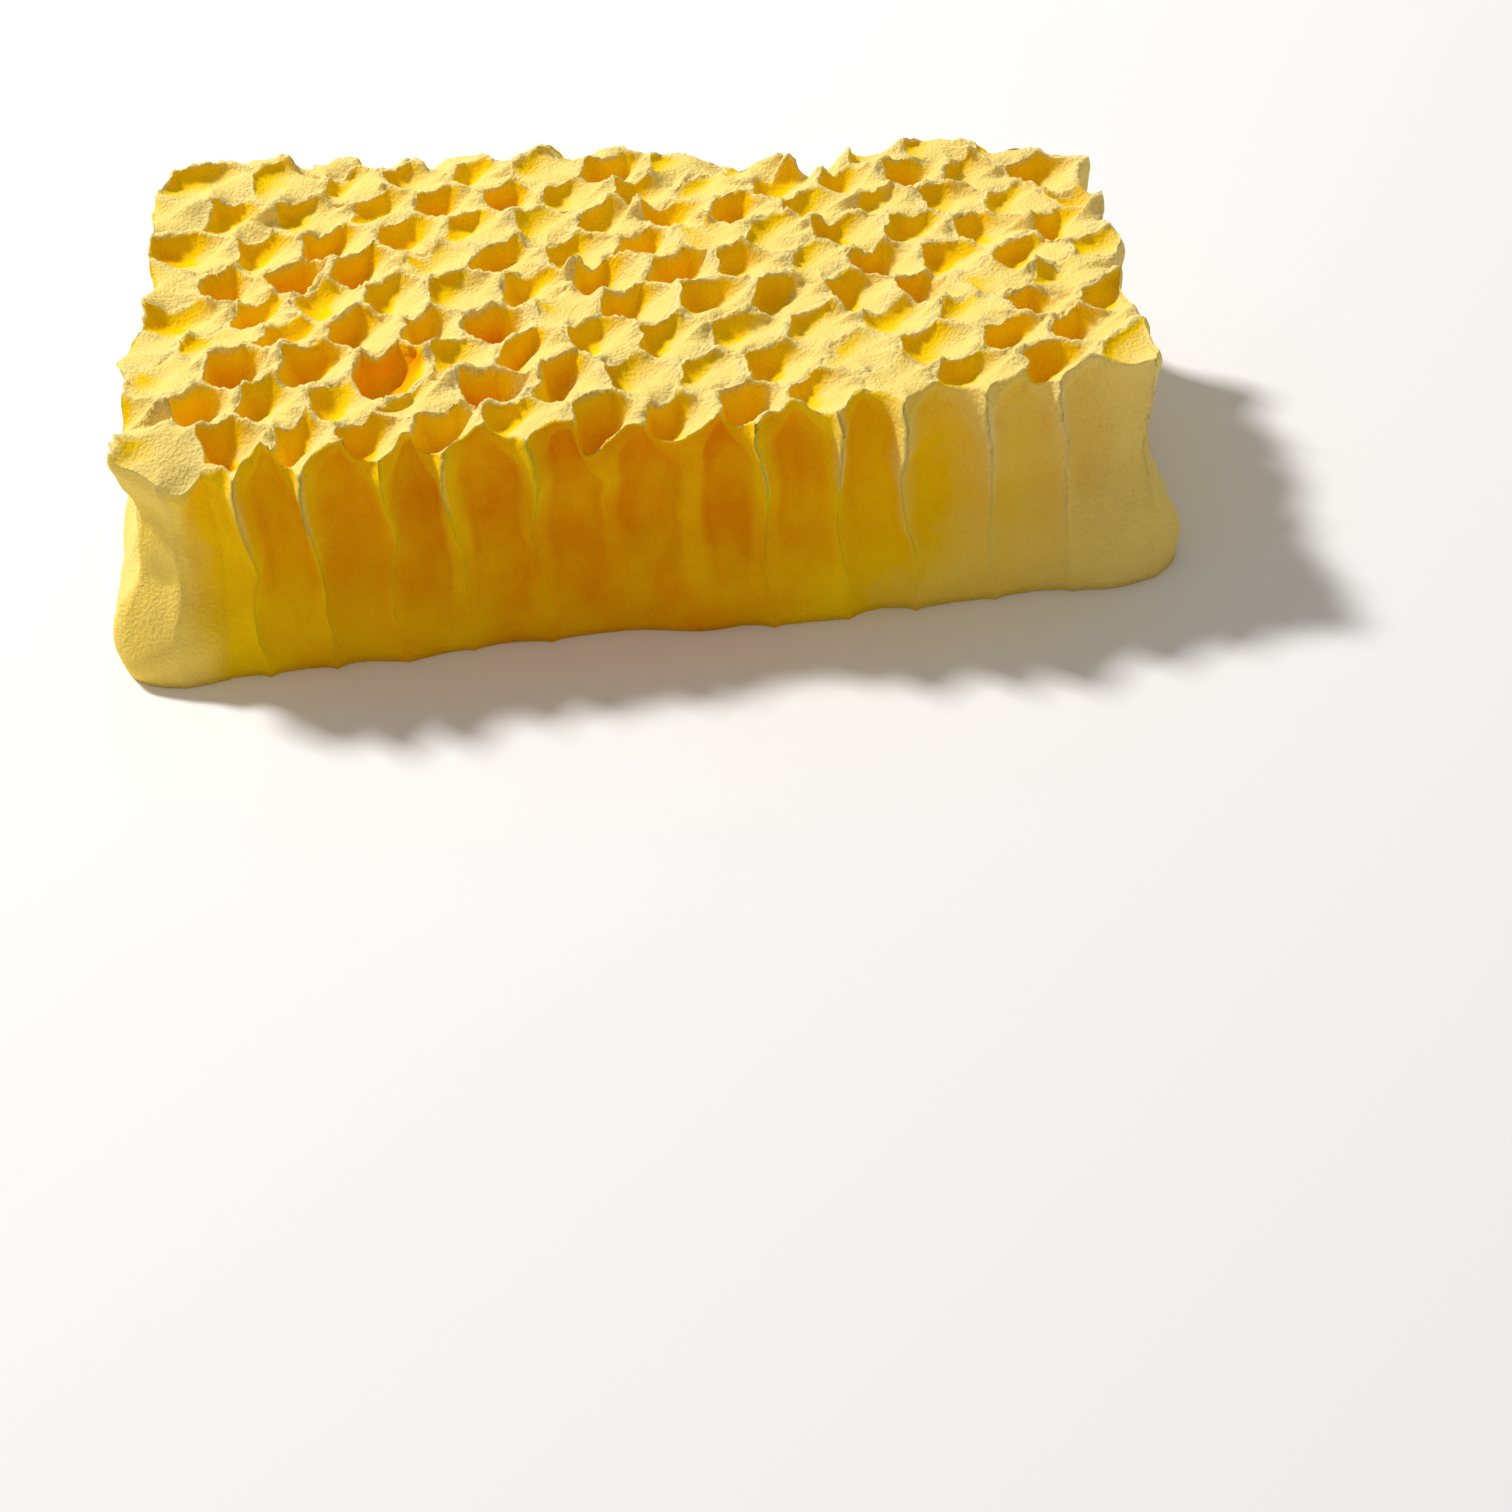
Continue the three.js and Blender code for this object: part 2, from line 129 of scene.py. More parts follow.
# %% [markdown]
# ## The comb, still flat
#
# Comb repeats in two steps: along a row, and from row to row with every other row half a cell over.
# The Array modifier does just that. One array makes a row, a second array repeats it at twice the row
# gap, and a copy of the row fills the places between. Merging by distance then welds the cells along
# the walls that they share.

# %% One row of cells


def repeat(piece, count, step):
    """Repeats a piece by an applied Array modifier."""
    array = piece.modifiers.new("repeat", "ARRAY")
    array.count = count
    array.use_relative_offset = False
    array.use_constant_offset = True
    array.constant_offset_displace = step
    bpy.context.view_layer.objects.active = piece
    bpy.ops.object.modifier_apply(modifier=array.name)


repeat(comb, CELLS, (CELL_PITCH * MM, 0, 0))
print("one row:", len(comb.data.polygons), "faces")

# %% All rows
MERGE_DISTANCE = 0.02  # well under the net's shortest edge


def row_shift(row):
    """Every other row starts half a cell further to the right."""
    return np.where(row % 2 == 0, -0.25, 0.25)


bpy.ops.object.duplicate()
between_rows = bpy.context.object
for rows, front_row in ((comb, ROWS - 1), (between_rows, ROWS - 2)):
    shift = row_shift(front_row)
    rows.location = ((shift - HALF_ROW) * CELL_PITCH * MM, (MIDDLE_ROW - front_row) * ROW_GAP * MM, 0)
    repeat(rows, ROWS // 2, (0, 2 * ROW_GAP * MM, 0))
    rows.select_set(True)
bpy.context.view_layer.objects.active = comb
bpy.ops.object.transform_apply(location=True)
bpy.ops.object.join()
comb.name = "clay_honeycomb"
bpy.ops.object.mode_set(mode="EDIT")
bpy.ops.mesh.select_all(action="SELECT")
bpy.ops.mesh.remove_doubles(threshold=MERGE_DISTANCE * MM)
print("flat comb:", len(comb.data.vertices), "points before the cells were welded")

# %% [markdown]
# ## Sides and bottom
#
# The real slab was cut straight down all round. The border of the flat comb is the only place where an
# edge has one face, which is what Blender calls non-manifold, and that selects it in one go. It is
# extruded down many times, so that the sides get the points that the flutes need, and one face closes
# the bottom. Sides and face stay one mesh, because the clay is one piece.

# %% Extruded sides
SIDE_STEPS = 26
FLAT_STEP = 0.5  # every level lies this much lower in the flat net, as a mark for later

bpy.ops.mesh.select_mode(type="EDGE")
bpy.ops.mesh.select_all(action="DESELECT")
bpy.ops.mesh.select_non_manifold()
for _ in range(SIDE_STEPS):
    bpy.ops.mesh.extrude_edges_move(TRANSFORM_OT_translate={"value": (0, 0, -FLAT_STEP * MM)})
bpy.ops.mesh.edge_face_add()
bpy.ops.mesh.select_all(action="SELECT")
bpy.ops.mesh.normals_make_consistent(inside=False)
bpy.ops.object.mode_set(mode="OBJECT")
print("closed net:", len(comb.data.polygons), "faces")

# %% The net's points
net = np.empty(len(comb.data.vertices) * 3)
comb.data.vertices.foreach_get("co", net)
net = net.reshape(-1, 3) / MM
level = np.rint(-net[:, 2] / FLAT_STEP).astype(int)  # 0 on the face, then down the sides
face = level == 0
side = ~face
print("points on the face and on the sides:", int(face.sum()), int(side.sum()))

# %% [markdown]
# ## Luck, soft steps and fades
#
# Nothing on the real face is regular, so its points are moved by rules, as a sculptor would push them.
# Three small helpers are in most of the rules. The first is luck that comes out the same at each run, so
# that the slab never changes by itself. The second rises softly from 0 to 1 between two values. The
# third fades softly from 1 to 0 around a place.

# %% Helpers for uneven things


def chance(a, b, kind):
    """A repeatable number from 0 to 1 for each pair of whole numbers."""
    wave = np.sin(a * 127.1 + b * 311.7 + kind * 74.7) * 43758.5453
    return wave - np.floor(wave)


def smooth_rise(value, start, end):
    """0 before start and 1 after end, with a soft rise between them."""
    t = np.clip((value - start) / (end - start), 0, 1)
    return t * t * (3 - 2 * t)


def fade(distance, reach):
    """1 at no distance, about a third at the reach, and nearly 0 at twice the reach."""
    return np.exp(-((distance / reach) ** 2))


print("fade at half, one and two reaches:", fade(np.array([0.5, 1, 2]), 1).round(2))

# %% [markdown]
# ## Which cell a point lies in
#
# Before a point can be moved, it has to know its cell and its place in it. Six-sided cells have a
# simple measure for that: the greatest of three distances across the cell, one for each pair of walls.
# It is 0 in the middle and 1 on the walls. The cell where it is least is the point's own.

# %% Rows and cells of the points
TIE = 1e-6  # a point on a shared wall stays with the first cell found


def hex_distance(across, along):
    """0 in the middle of a cell and 1 on its walls."""
    slant_a = np.abs(across / 2 + along * HEX)
    slant_b = np.abs(across / 2 - along * HEX)
    return 2 * np.maximum(np.abs(across), np.maximum(slant_a, slant_b))


def nearest_cells(x, y):
    """Row and cell number of each point, and its place in the cell on a truly six-sided grid."""
    best = np.full(x.shape, np.inf)
    found = np.zeros((4,) + x.shape)
    row_guess = np.rint(MIDDLE_ROW - y / ROW_GAP)
    for row_step in (-1, 0, 1):
        row = np.clip(row_guess + row_step, 0, ROWS - 1)
        shift = row_shift(row)
        cell_guess = np.rint(x / CELL_PITCH + HALF_ROW - shift)
        for cell_step in (-1, 0, 1):
            cell = np.clip(cell_guess + cell_step, 0, CELLS - 1)
            away_x = x / CELL_PITCH - (cell - HALF_ROW + shift)
            away_y = (y / ROW_GAP - (MIDDLE_ROW - row)) * HEX
            distance = hex_distance(away_x, away_y)
            closer = distance < best - TIE
            best = np.where(closer, distance, best)
            found = np.where(closer, np.array([row, cell, away_x, away_y]), found)
    return found[0].astype(int), found[1].astype(int), found[2], found[3]


def cell_middle(row, cell):
    """Where a cell's middle lies on the regular comb."""
    return (cell - HALF_ROW + row_shift(row)) * CELL_PITCH, (MIDDLE_ROW - row) * ROW_GAP


print("middle of the back left cell:", [round(float(value), 2) for value in cell_middle(0, 0)])

# %% [markdown]
# ## Crests
#
# Where three walls meet, the clay was squeezed up into a small peak, and a few peaks were pulled into a
# horn when the mould came off. Between two peaks the wall sags, each by its own luck. One wall at the
# left is torn away nearly to the floor. The heights of two peaks, eased from one to the other and with
# the sag taken off, give the crest. Both cells beside a wall work it out from the same two corners, so
# they agree on it and no crack opens.

# %% Peaks and horns
RIM_HEIGHT = 19.6  # mean height of the crests over the bottom
SWELL_HIGH, RIPPLE_HIGH = 0.7, 0.35
PEAK_HIGH = 0.5  # how far the highest corners stand over that
HORN_HEIGHT, HORN_WIDTH = 1.0, 0.8
HORN_LUCK = 0.8  # corners with more luck than this have a horn


def swell(x, y):
    """Slow rise and fall of the whole pressed sheet."""
    swells = SWELL_HIGH * np.sin(x * 0.09 + 1.2) * np.cos(y * 0.11 - 0.4)
    return swells + RIPPLE_HIGH * np.sin(x * 0.21 - y * 0.17)


def corner_luck(x, y, kind):
    """The luck of a corner, the same from all three cells that meet there."""
    return chance(np.rint(4 * x / CELL_PITCH), np.rint(3 * y / ROW_GAP), kind)


def peak(x, y):
    """Height of a corner without its horn."""
    return RIM_HEIGHT + swell(x, y) + PEAK_HIGH * corner_luck(x, y, 2) ** 2


def horn(x, y):
    """How high the horn on a corner is, and 0 on most corners."""
    return HORN_HEIGHT * np.clip(corner_luck(x, y, 5) - HORN_LUCK, 0, 1) / (1 - HORN_LUCK)


swell_at_middles = swell(*cell_middle(*np.indices((ROWS, CELLS))))
print("the sheet swells from", swell_at_middles.min().round(2), "to", swell_at_middles.max().round(2), "mm")

# %% Depth of every cell
DEPTHS = {"f": 0.4, "s": 0.95, "m": 1.7, "d": 2.7, "p": 3.9, "o": 2.8}  # from the rim to the floor
DEPTH_SPREAD = 0.15  # share by which a cell's luck makes it deeper or less deep


def by_kind(values):
    """A table like the chart, with a value for each cell's letter."""
    return np.array([[values[kind] for kind in line] for line in CELL_CHART])


depth_luck = 2 * chance(*np.indices((ROWS, CELLS)), 1) - 1
CELL_DEPTHS = by_kind(DEPTHS) * (1 + DEPTH_SPREAD * depth_luck)
print("cells from", CELL_DEPTHS.min().round(2), "to", CELL_DEPTHS.max().round(2), "mm deep")

# %% Sagging and torn walls
SIXTH = math.pi / 3  # the turn from one wall of a cell to the next
SAG_HIGH = 1.0  # how far the wall with the most luck sags
SAG_RARITY = 2.5  # the higher, the fewer walls sag far
SAG_CURVE = 1.5  # the higher, the more the sag keeps to the wall's middle
TORN_SHARE = 0.95  # share of the shallower cell's depth that a torn wall loses
TORN_CURVE = 0.35  # the lower, the nearer to its corners a torn wall is gone
TORN_WALLS = [((8, 0), (8, 1))]  # pairs of cells, each as row and place in the row


def wall_sag(row, cell, wall, along):
    """How much lower a cell's wall is than its corners, at a share of the way along it."""
    middle_x, middle_y = cell_middle(row, cell)
    wall_x = middle_x + CELL_PITCH / 2 * np.cos(wall * SIXTH)
    wall_y = middle_y + ROW_GAP / HEX / 2 * np.sin(wall * SIXTH)
    luck = chance(np.rint(4 * wall_x / CELL_PITCH), np.rint(2 * wall_y / ROW_GAP), 3)
    arch = 4 * along * (1 - along)
    sag = SAG_HIGH * luck**SAG_RARITY * arch**SAG_CURVE
    beyond_row, beyond_cell, _, _ = nearest_cells(2 * wall_x - middle_x, 2 * wall_y - middle_y)
    for pair in TORN_WALLS:
        lost = TORN_SHARE * min(CELL_DEPTHS[here] for here in pair)
        for here, there in (pair, pair[::-1]):
            torn = (row == here[0]) & (cell == here[1])
            torn &= (beyond_row == there[0]) & (beyond_cell == there[1])
            sag = np.where(torn, lost * arch**TORN_CURVE, sag)
    return sag


print("torn walls:", len(TORN_WALLS))

# %% Height of the crests
SIDE_LENGTH = CELL_PITCH / math.sqrt(3)


def crest_height(row, cell, away_x, away_y):
    """Height of the crest that a point of the face looks towards, seen from its cell's middle."""
    middle_x, middle_y = cell_middle(row, cell)
    turn = np.arctan2(away_y, away_x)
    wall = np.rint(turn / SIXTH)
    along = np.clip(0.5 + np.tan(turn - wall * SIXTH) / (2 * math.tan(SIXTH / 2)), 0, 1)
    eased = smooth_rise(along, 0, 1)
    height = np.zeros(along.shape)
    for end, share, near in ((-0.5, 1 - eased, 1 - along), (0.5, eased, along)):
        x = middle_x + SIDE_LENGTH * np.cos((wall + end) * SIXTH)
        y = middle_y + ROW_GAP * 2 / 3 * np.sin((wall + end) * SIXTH)
        height += peak(x, y) * share + horn(x, y) * fade((1 - near) * SIDE_LENGTH, HORN_WIDTH)
    return height - wall_sag(row, cell, wall, along)


net_crests = crest_height(*nearest_cells(net[face, 0], net[face, 1]))
print("crests from", net_crests.min().round(1), "to", net_crests.max().round(1), "mm high")

# %% [markdown]
# ## Bowls
#
# From the crest the clay falls to the floor of its cell. A power curve gives that in one line: a low
# power makes a shallow dish, and a high one makes steep walls and a flat floor, as the deep cells have.
# Near the floor a bowl is round, and only towards the crest does it become six-sided. The mould was
# pulled off towards one side, so the lowest point lies a little to the back left, the walls there are
# steep, and those at the front right are gentle. The crest has a narrow flat top.

# %% A place in a bowl
LOWEST_POINT = (-0.18, 0.09)  # to the back left of each cell's middle, as a share of the pitch
STEEP_SIDE = (-0.87, 0.5)  # the way to the back left
CREST_EDGE = 0.95  # the crest is flat from here outwards
NEVER_ZERO = 1e-9


def place_in_bowl(away_x, away_y):
    """0 at the lowest point and 1 on the crest, and how far round to the back left, from -1 to 1."""
    inside = 1 - hex_distance(away_x, away_y) ** 2
    away_x = away_x - LOWEST_POINT[0] * inside
    away_y = away_y - LOWEST_POINT[1] * inside
    six_sided = np.minimum(hex_distance(away_x, away_y), 1)
    away = np.hypot(away_x, away_y) + NEVER_ZERO
    round_reach = 2 * away * math.sqrt(HEX)
    reach = np.minimum((round_reach + (six_sided - round_reach) * six_sided**4) / CREST_EDGE, 1)
    back_left = (away_x * STEEP_SIDE[0] + away_y * STEEP_SIDE[1]) / away
    return reach, back_left


middle_reach, _ = place_in_bowl(np.zeros(1), np.zeros(1))
print("from the lowest point, a cell's middle lies at", middle_reach.round(2), "of the way to the crest")

# %% [markdown]
# ## Painted shade in the hollows
#
# Thin clay lets light through, and in a hollow that light comes back warmer and darker. The material
# paints that as colour, and needs a number of painted shade for it, which is made here, where each
# point's depth is known. Walls that face away from the lamp get most of it, the deepest floors get some
# all over, and one cell that was torn open gets a painted glow on all its walls, strongest where the
# lamp falls.

# %% A number for the shade
LIT_TURN = (-0.4, 0.4)  # between these turns from the back left, the wall comes into the light
LIT_REACH = (0.1, 0.35)  # and between these reaches from the lowest point
RIM_SHADE = (0.5, 0, 0.3)  # how much shade, and the depths under the crest between which it grows
WALL_SHADE = (0.2, 0.8, 2)
DEEP_SHADE = (0.3, 2.4, 3.6)  # this one is on lit walls as well
DEEP_CELLS = (0.8, 2.4)  # between these depths a cell counts more and more as deep
SHALLOW_LOSS = 0.65  # share of the shade that shallow cells lose where no steep wall stands
STEEP_WALL = (0.1, 0.7)  # between these reaches towards the back left, the steep wall begins
OPEN_SHADE, OPEN_SHADE_LIT, OPEN_EDGE = 0.7, 0.25, 0.4  # the open cell: everywhere, in the light, from here
OPEN_CELLS = by_kind({kind: kind == "o" for kind in DEPTHS})


def grown(depth, rule):
    """A shade's share at a depth."""
    much, start, end = rule
    return much * smooth_rise(depth, start, end)


def hollow_shade(row, cell, depth, reach, back_left):
    """How much painted shade and glow each point gets, from 0 to 1."""
    # lit is where the lamp from the back left falls. Away from it the colour gets painted shade.
    lit = smooth_rise(-back_left, *LIT_TURN) * smooth_rise(reach, *LIT_REACH)
    shade = 1 - lit
    shade *= grown(depth, RIM_SHADE) + grown(depth, WALL_SHADE)
    shade += grown(depth, DEEP_SHADE)
    deep_cell = smooth_rise(CELL_DEPTHS[row, cell], *DEEP_CELLS)
    shade *= 1 - SHALLOW_LOSS * (1 - deep_cell) * (1 - smooth_rise(reach * back_left, *STEEP_WALL))
    open_shade = (OPEN_SHADE + OPEN_SHADE_LIT * lit) * smooth_rise(depth, 0, OPEN_EDGE)
    return np.where(OPEN_CELLS[row, cell], open_shade, shade)


print("open cells:", int(OPEN_CELLS.sum()))

# %% Height of the face
STEEPNESS = {"f": 1.5, "s": 1.6, "m": 1.9, "d": 2.3, "p": 3.2, "o": 3.6}  # of each kind of bowl
STEEPER = 0.52  # how much more at the back left, and less at the front right
LEVEL_LUCK = 0.6  # how much a cell as a whole stands higher or lower
CREST_MELTS = 5  # the higher, the later the bowl takes on the crest's own height
CREST_THIN = 12  # the higher, the thinner the line that counts as crest
CELL_POWERS = by_kind(STEEPNESS)


def face_heights(x, y):
    """Height of the pressed face, how near the crest each point is, and its painted shade."""
    row, cell, away_x, away_y = nearest_cells(x, y)
    crest = crest_height(row, cell, away_x, away_y)
    reach, back_left = place_in_bowl(away_x, away_y)
    own_level = RIM_HEIGHT + swell(*cell_middle(row, cell))
    own_level += LEVEL_LUCK * (chance(row, cell, 4) - 0.5)
    bowl = reach ** (CELL_POWERS[row, cell] * (1 + STEEPER * back_left))
    height = own_level - CELL_DEPTHS[row, cell] * (1 - bowl) + (crest - own_level) * reach**CREST_MELTS
    depth = np.clip(crest - height, 0, None)
    return height, reach**CREST_THIN, hollow_shade(row, cell, depth, reach, back_left)


net_heights = face_heights(net[face, 0], net[face, 1])[0]
print("face from", net_heights.min().round(1), "to", net_heights.max().round(1), "mm high")

# %% [markdown]
# ## Where the comb was cut
#
# The cutter took a part of the outermost cells away: the front is cut through the front row, the ends
# through the last cells, and the back runs unevenly through the back row, with a notch in it. The mesh
# isn't cut, because that would leave slivers. The outermost points are drawn in to the cuts instead. Each
# point behind the back cut keeps a note of how far behind it was, and becomes part of the back face.

# %% The cuts
FRONT_CUT, LEFT_CUT, RIGHT_CUT = 0.6, 0.57, 0.33  # shares left of the outer halves
# Where the front reaches further out or less far: middle, width, share
FRONT_BULGES = [(-39, 3, -0.4), (-33, 2.6, 1.0), (-1.5, 5, -0.5), (12, 5, 0.6)]
# The back cut: X, and how far behind the middles of the last whole row
BACK_CUT = [(-42, 0.2), (-35, 3.6), (-17, 4.6), (-10.5, 3.2), (-5, 4.6), (1, 3.8), (9, 0.2), (16, -0.6)]
BACK_CUT += [(27, 2.2), (33, -0.6), (40, -1.4)]
LEFT_BEHIND = 0.1  # behind the back cut, this share is left at the left end, so that no fold hangs there
LAST_X = (HALF_ROW + 0.25) * CELL_PITCH  # middles of the outermost cells
FRONT_Y = (MIDDLE_ROW - ROWS + 1) * ROW_GAP  # middles of the front row
BACK_Y = (MIDDLE_ROW - 1) * ROW_GAP  # middles of the last row that isn't cut


def front_reach(x):
    """Share of the front row's outer half that is left at x."""
    return FRONT_CUT * (1 + sum(more * fade(x - at, wide) for at, wide, more in FRONT_BULGES))


def behind_cut(x, y):
    """How far behind the back cut each point lies, and 0 in front of it."""
    cut_x, cut_y = np.array(BACK_CUT).T
    after = np.clip(np.searchsorted(cut_x, x), 1, len(cut_x) - 1)
    share = smooth_rise(x, cut_x[after - 1], cut_x[after])
    return np.clip(y - BACK_Y - cut_y[after - 1] - (cut_y[after] - cut_y[after - 1]) * share, 0, None)


def cut_comb(x, y):
    """Draws the outermost cells in to the cuts, and says how far behind the back cut each point was."""
    x = np.where(x > LAST_X, LAST_X + (x - LAST_X) * RIGHT_CUT, x)
    x = np.where(x < -LAST_X, -LAST_X + (x + LAST_X) * LEFT_CUT, x)
    y = np.where(y < FRONT_Y, FRONT_Y + (y - FRONT_Y) * front_reach(x), y)
    drawn_in = np.where(x < -LAST_X, -LAST_X + (x + LAST_X) * LEFT_BEHIND, x)
    behind = behind_cut(drawn_in, y)
    return np.where(behind > 0, drawn_in, x), y - behind, behind


comb_x, comb_y, behind = cut_comb(net[:, 0], net[:, 1])
print("behind the back cut:", int((behind > 0).sum()), "points")

# %% Evened ends
SIDE_STRAIGHTEN = 0.75  # how far the ends of the shorter rows reach out to the longer ones


def straighten_sides(x):
    """Brings the ends of the shorter rows out towards the ends of the longer ones."""
    inner = (HALF_ROW - 0.25) * CELL_PITCH
    tip = LAST_X + CELL_PITCH / 2 * np.where(x > 0, RIGHT_CUT, LEFT_CUT)
    moved = LAST_X + (tip - LAST_X) * SIDE_STRAIGHTEN
    reach = np.abs(x)
    middle = inner + (reach - inner) / (LAST_X - inner) * (moved - inner)
    end = moved + (reach - LAST_X) / (tip - LAST_X) * (tip - moved)
    return np.sign(x) * np.where(reach < inner, reach, np.where(reach < LAST_X, middle, end))


evened = straighten_sides(comb_x)
print("ends at", evened.min().round(1), "and", evened.max().round(1), "mm")

# %% [markdown]
# ## Flutes and ridges
#
# The front shows the front row cut open: each half cell is an upright flute, and between two flutes the
# cut wall stands out as a ridge. No two ridges are alike, so each has its own strength in a list. Some
# were squashed flat, and others were pulled well out of the front.

# %% The front's relief
# How far each ridge between the front's flutes stands out, from the left
RIDGES = np.array([0.3, 1.6, 1.7, 0.7, 1.0, 1.1, -0.4, -0.2, 1.3, 1.3, 1.8, 1.3, 1.0, 0.6, 0.5])
RIDGE_THIN = 5  # the higher, the thinner the ridges
FLUTE_CURVE = 2.2  # the higher, the deeper the flutes are hollowed next to the ridges
FRONT_ONLY = 4  # the higher, the less of the relief is left behind the front


def ridge_number(x):
    """The number of the ridge that is nearest to x."""
    return np.rint(x / CELL_PITCH + HALF_ROW - row_shift(ROWS - 1))


def ridge_strength(x):
    """How far the ridge that is nearest to x stands out."""
    return RIDGES[np.clip(ridge_number(x), 0, len(RIDGES) - 1).astype(int)]


def off_ridge(x):
    """0 where a ridge runs down the front and 1 in the middle of a flute."""
    return 2 * np.abs(x / CELL_PITCH + HALF_ROW - row_shift(ROWS - 1) - ridge_number(x))


def front_relief(x, y):
    """Hollows the flutes between the front's ridges and draws the ridges out."""
    near = np.clip((FRONT_Y - y) / (ROW_GAP * 2 / 3 * front_reach(x)), 0, 1) ** FRONT_ONLY
    ridge = 1 - off_ridge(x)
    hollowed = ROW_GAP / 3 * FRONT_CUT * (ridge - ridge**FLUTE_CURVE)
    return near * (hollowed - ridge_strength(x) * ridge**RIDGE_THIN)


relief_depth = front_relief(comb_x, comb_y)
print("relief of the front from", relief_depth.min().round(2), "to", relief_depth.max().round(2), "mm")

# %% [markdown]
# ## From the regular comb to its real place
#
# The mould's comb wasn't quite regular, and soft clay gives when it is handled. The rows lean to one side
# and bow, the slab is narrower on the right, the cells at the front left were pulled forwards, and one
# torn cell has its front corner drawn out. All cells wander a little, by two slow waves each way. The CAD
# part follows the same rules, and that is why the fine mesh fits it.

# %% Rules for the place of a point
LEAN, NARROWING = 0.05, 0.001  # the columns of cells lean, and the rows are shorter at the back
SLOPE, BOW = -0.02, 0.0006  # the rows slope, and bow towards the front in their middle
TAPER, FRONT_SPREAD = 0.0022, 0.0018  # the rows are closer at the right, and further apart in front
CORNER_SHARE, CORNER_FROM_TO = 1 / 20, (33, 41.5)  # the ends are drawn in at the corners
LEFT_PULL, LEFT_PULL_AT, LEFT_PULL_WIDE, LEFT_PULL_FRONT = 1.6, -38, 6, (6, 16)
SLOT_PULL, SLOT_AT, SLOT_SPREAD = 2.2, (-19.0, -12.5), 6  # the torn cell's front corner
# Slow waves: height, how fast they go with X and with Y, and their start
WANDER_X = [(0.4, 0.17, 0.31, 0.6), (0.3, -0.52, 0.83, 1.9)]
WANDER_Y = [(0.4, 0.27, -0.13, 2.1), (0.3, 0.77, 0.61, 0.3)]


def waves(x, y, rules):
    """Sum of slow waves over the comb."""
    return sum(high * np.sin(fast_x * x + fast_y * y + start) for high, fast_x, fast_y, start in rules)


def place(x, y):
    """From the regular comb to its place on the real slab."""
    tip = LAST_X + LEFT_CUT / 2 * CELL_PITCH
    wide = straighten_sides(x)
    drawn_in = 1 - CORNER_SHARE * smooth_rise(np.abs(wide), *CORNER_FROM_TO)
    deep = (y + front_relief(x, y)) * drawn_in
    deep = deep - LEFT_PULL * fade(wide - LEFT_PULL_AT, LEFT_PULL_WIDE) * smooth_rise(-y, *LEFT_PULL_FRONT)
    deep = deep - SLOT_PULL * np.exp(-(((x - SLOT_AT[0]) ** 2 + (y - SLOT_AT[1]) ** 2) / SLOT_SPREAD))
    lean = LEAN * deep * (1 - (wide / tip) ** 2)
    across_rows = deep * (1 - TAPER * wide) - FRONT_SPREAD * deep**2
    return (
        wide * (1 - NARROWING * deep) + lean + waves(x, y, WANDER_X),
        across_rows + SLOPE * wide + BOW * wide**2 + waves(x, y, WANDER_Y),
    )


moved_x, moved_y = place(np.zeros(1), np.zeros(1))
print("the comb's middle goes to", moved_x.round(2), moved_y.round(2), "mm")

# %% Move the face's points
BACK_SLIDE, BACK_LEAN = 0.35, 0.1  # what was cut off slides down the back face, and out a little
CREST_BEHIND, SHADE_BEHIND = 1.2, 0.6  # how far over the back edge the crest and the shade go on
CORNER_SLUMP, SLUMP_AT, SLUMP_REACH = 2.6, (-35, -24), 5  # the front left corner sank

height, crest_share, shade_share = face_heights(comb_x, comb_y)
height -= BACK_SLIDE * behind
crest_share = np.where(behind > 0, fade(behind, CREST_BEHIND), crest_share)
shade_share *= fade(behind, SHADE_BEHIND)
from_corner = np.hypot(comb_x - SLUMP_AT[0], comb_y - SLUMP_AT[1])
slump = CORNER_SLUMP * fade(from_corner, SLUMP_REACH)
points = np.column_stack([*place(comb_x, comb_y + BACK_LEAN * behind), height - slump])
print("face from", points[face].min(axis=0).round(1), "to", points[face].max(axis=0).round(1), "mm")

# %% [markdown]
# ## The cut sides
#
# On the real slab the flutes run down from the rim and fade towards the foot, where the clay sank a
# little under its own weight before it dried. Each point of the border has a column of points under it,
# and two outlines steer that column: the rim's own zigzag, which is what the flutes are, and a calm
# outline with the zigzag averaged away. Near the rim a column follows the first, and towards the foot it
# moves to the second. A way out from the calm outline then lets rules push the clay out or in.

# %% Columns of the sides, in order round the slab
edges = np.empty(len(comb.data.edges) * 2, int)
comb.data.edges.foreach_get("vertices", edges)
edges = edges.reshape(-1, 2)
neighbours = {}
for a, b in edges[(level[edges] == 1).all(axis=1)]:
    neighbours.setdefault(int(a), []).append(int(b))
    neighbours.setdefault(int(b), []).append(int(a))
loop = [next(iter(neighbours))]
onward = neighbours[loop[0]][0]
while onward != loop[0]:
    loop.append(onward)
    onward = next(n for n in neighbours[onward] if n != loop[-2])
print("border:", len(loop), "columns")

# %% The column of each point


def net_key(point):
    """A point's place seen from above, as whole numbers that can be looked up."""
    return round(point[0] * 100), round(point[1] * 100)


column_of = {net_key(net[point]): column for column, point in enumerate(loop)}
column = np.array([column_of.get(net_key(point), -1) for point in net])
rim_of = np.zeros(len(loop), int)
rim_of[column[face & (column >= 0)]] = np.flatnonzero(face & (column >= 0))
rim = points[rim_of]
print("rim from", rim[:, 2].min().round(1), "to", rim[:, 2].max().round(1), "mm high")

# %% The calm outline
CALM_REACH = 24  # points each way


def averaged(loop_points, reach):
    """Each point's mean with its neighbours, who count for less the further off they are."""
    total = 0
    for step in range(-reach, reach + 1):
        total = total + np.roll(loop_points, -step, axis=0) * (reach + 1 - abs(step))
    return total / (reach + 1) ** 2


calm = averaged(rim[:, :2], CALM_REACH)
print("calm outline:", np.abs(calm).max(axis=0).round(1), "mm from the middle")

